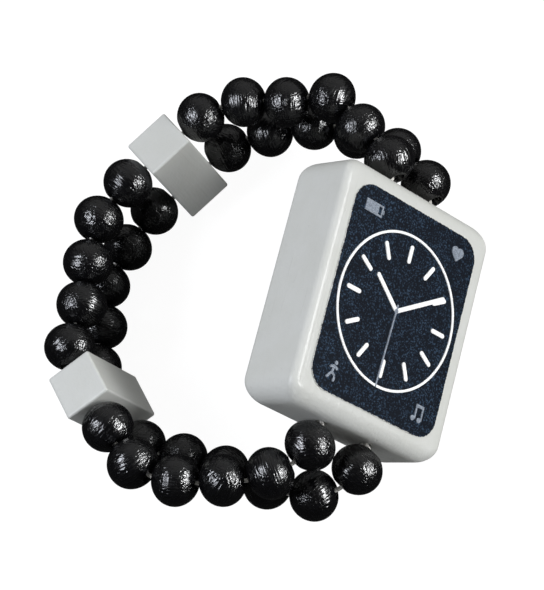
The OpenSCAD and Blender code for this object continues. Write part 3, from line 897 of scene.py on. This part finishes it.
for strand, side in upSign.items():
    finished(makeKnot(strand + "Knot", side), elastic, "elastic_cord", "case",
             "elastic_knots")


# The prints are the CAD's own pieces; the rest get their material in case they show
madeOf = {"screen_print": darkInk(), "white_print": upperInk("whitePrintingInk"),
          "grey_print": upperInk("thinGreyInk"), "case_block": paint,
          "first_spacer": paint, "second_spacer": paint}
for name, node in nodes.items():
    other = elastic if name.startswith("elastic") else lacquer
    node.data.materials.clear()
    node.data.materials.append(madeOf.get(name, other))
print("dial printed")


studio = {
    "floorSize": 4.0, "floorTone": "b0b0af", "floorGlow": 0.94, "floorShare": 0.14,
    "above": 0.8, "below": 0.06, "inGloss": 0.012, "glossCut": 0.985,
    "glossAbove": 0.35, "glossBelow": 0.02, "lean": 0.4,
    "rise": (-0.6, 0.9), "glossRise": (0.1, 1.0), "aim": (0.0, 0.0, 12.0),
    "left": {"side": -0.73, "up": 0.08, "back": 0.68, "far": 0.5,
             "width": 0.14, "height": 0.28, "watts": 1.8, "tone": "f2f6ff"},
    "right": {"side": 0.83, "up": 0.06, "back": 0.55, "far": 0.5,
              "width": 0.11, "height": 0.32, "watts": 1.85, "tone": "fdfeff"},
    "strip": {"side": 0.83, "up": 0.06, "back": 0.55, "far": 0.48,
              "width": 0.07, "height": 0.3, "watts": 1.1, "tone": "fdfeff"},
}


# 1 for what the camera sees itself or through glass, and a little in gloss, since the
# black beads must stay dark below.
def seenDirectly(tree):
    path = addNode(tree, "ShaderNodeLightPath")
    gloss = maths(tree, "MULTIPLY", path.outputs["Is Glossy Ray"], studio["inGloss"])
    seen = maths(tree, "MAXIMUM", path.outputs["Is Camera Ray"], gloss)
    return maths(tree, "MAXIMUM", seen, path.outputs["Is Transmission Ray"])


# A flat white table that glows, so that it keeps only a faint shadow.
def makeFloor():
    s = studio["floorSize"] / 2
    mesh = bpy.data.meshes.new("whiteTable")
    mesh.from_pydata([(-s, -s, 0), (s, -s, 0), (s, s, 0), (-s, s, 0)], [], [(0, 1, 2, 3)])
    floor = bpy.data.objects.new("whiteTable", mesh)
    bpy.context.scene.collection.objects.link(floor)
    material, tree, surface = newMaterial("whiteTable", Roughness=0.9)
    surface.inputs["Base Color"].default_value = linear(studio["floorTone"])
    output = next(n for n in tree.nodes if n.type == "OUTPUT_MATERIAL")
    faint = addNode(tree, "ShaderNodeBsdfDiffuse")
    faint.inputs["Color"].default_value = [studio["floorShare"]] * 3 + [1]
    glow = addNode(tree, "ShaderNodeEmission", in_Strength=studio["floorGlow"])
    both = addNode(tree, "ShaderNodeAddShader",
                   [(0, faint.outputs["BSDF"]), (1, glow.outputs["Emission"])])
    mix = addNode(tree, "ShaderNodeMixShader",
                  [(0, seenDirectly(tree)), (1, surface.outputs["BSDF"]),
                   (2, both.outputs["Shader"])])
    # the table's own light is held back in gloss, or the beads would be grey below
    path = addNode(tree, "ShaderNodeLightPath")
    dark = addNode(tree, "ShaderNodeEmission", in_Strength=studio["inGloss"])
    held = addNode(tree, "ShaderNodeMixShader", [
        (0, maths(tree, "MULTIPLY", path.outputs["Is Glossy Ray"], studio["glossCut"])),
        (1, mix.outputs["Shader"]), (2, dark.outputs["Emission"])])
    tree.links.new(output.inputs["Surface"], held.outputs["Shader"])
    mesh.materials.append(material)


# White to the camera; for the rest a soft light that grows from below to above along
# the picture's up, leaning to its right, and a darker one of the same kind in gloss.
def makeSurround():
    world = bpy.data.worlds.new("whiteTent")
    world.use_nodes = True
    tree = world.node_tree
    tree.nodes.clear()
    way = addNode(tree, "ShaderNodeTexCoord").outputs["Generated"]
    rise = addNode(tree, "ShaderNodeVectorMath", [(0, way)], operation="DOT_PRODUCT",
                   in_1=tuple(viewUp + viewRight * studio["lean"])).outputs["Value"]
    level = between(tree, rise, *studio["rise"], studio["below"], studio["above"])
    path = addNode(tree, "ShaderNodeLightPath")
    mirrored = maths(tree, "SUBTRACT", between(
        tree, rise, *studio["glossRise"], studio["glossBelow"], studio["glossAbove"]),
        level)
    level = maths(tree, "ADD", level, maths(
        tree, "MULTIPLY", mirrored, path.outputs["Is Glossy Ray"]))
    soft = addNode(tree, "ShaderNodeBackground", [("Strength", level)])
    white = addNode(tree, "ShaderNodeBackground", in_Strength=1.0)
    mix = addNode(tree, "ShaderNodeMixShader",
                  [(0, seenDirectly(tree)), (1, soft.outputs["Background"]),
                   (2, white.outputs["Background"])])
    output = addNode(tree, "ShaderNodeOutputWorld")
    tree.links.new(output.inputs["Surface"], mix.outputs["Shader"])
    bpy.context.scene.world = world


# A tall soft window beside the camera, aimed at the watch.
def makeSoftbox(name, box):
    data = bpy.data.lights.new(name, "AREA")
    data.shape, data.size, data.size_y = "RECTANGLE", box["width"], box["height"]
    data.energy = box["watts"]
    data.color = linear(box["tone"])[:3]
    middle = np.array(studio["aim"]) * mm
    way = viewRight * box["side"] + viewUp * box["up"] + viewBack * box["back"]
    way /= np.linalg.norm(way)
    side = np.cross(viewUp, way)
    side /= np.linalg.norm(side)
    over = np.cross(way, side)
    lamp = bpy.data.objects.new(name, data)
    bpy.context.scene.collection.objects.link(lamp)
    turn = Matrix([[side[i], over[i], way[i]] for i in range(3)]).to_4x4()
    lamp.matrix_world = Matrix.Translation(Vector(middle + way * box["far"])) @ turn
    return lamp


makeFloor()
makeSurround()
makeSoftbox("leftSoftbox", studio["left"])
makeSoftbox("rightSoftbox", studio["right"])
# lights nothing but gloss, as a bright core of the right window
makeSoftbox("rightStrip", studio["strip"]).visible_diffuse = False
bpy.context.scene.view_settings.view_transform = "Standard"
print("studio lit")
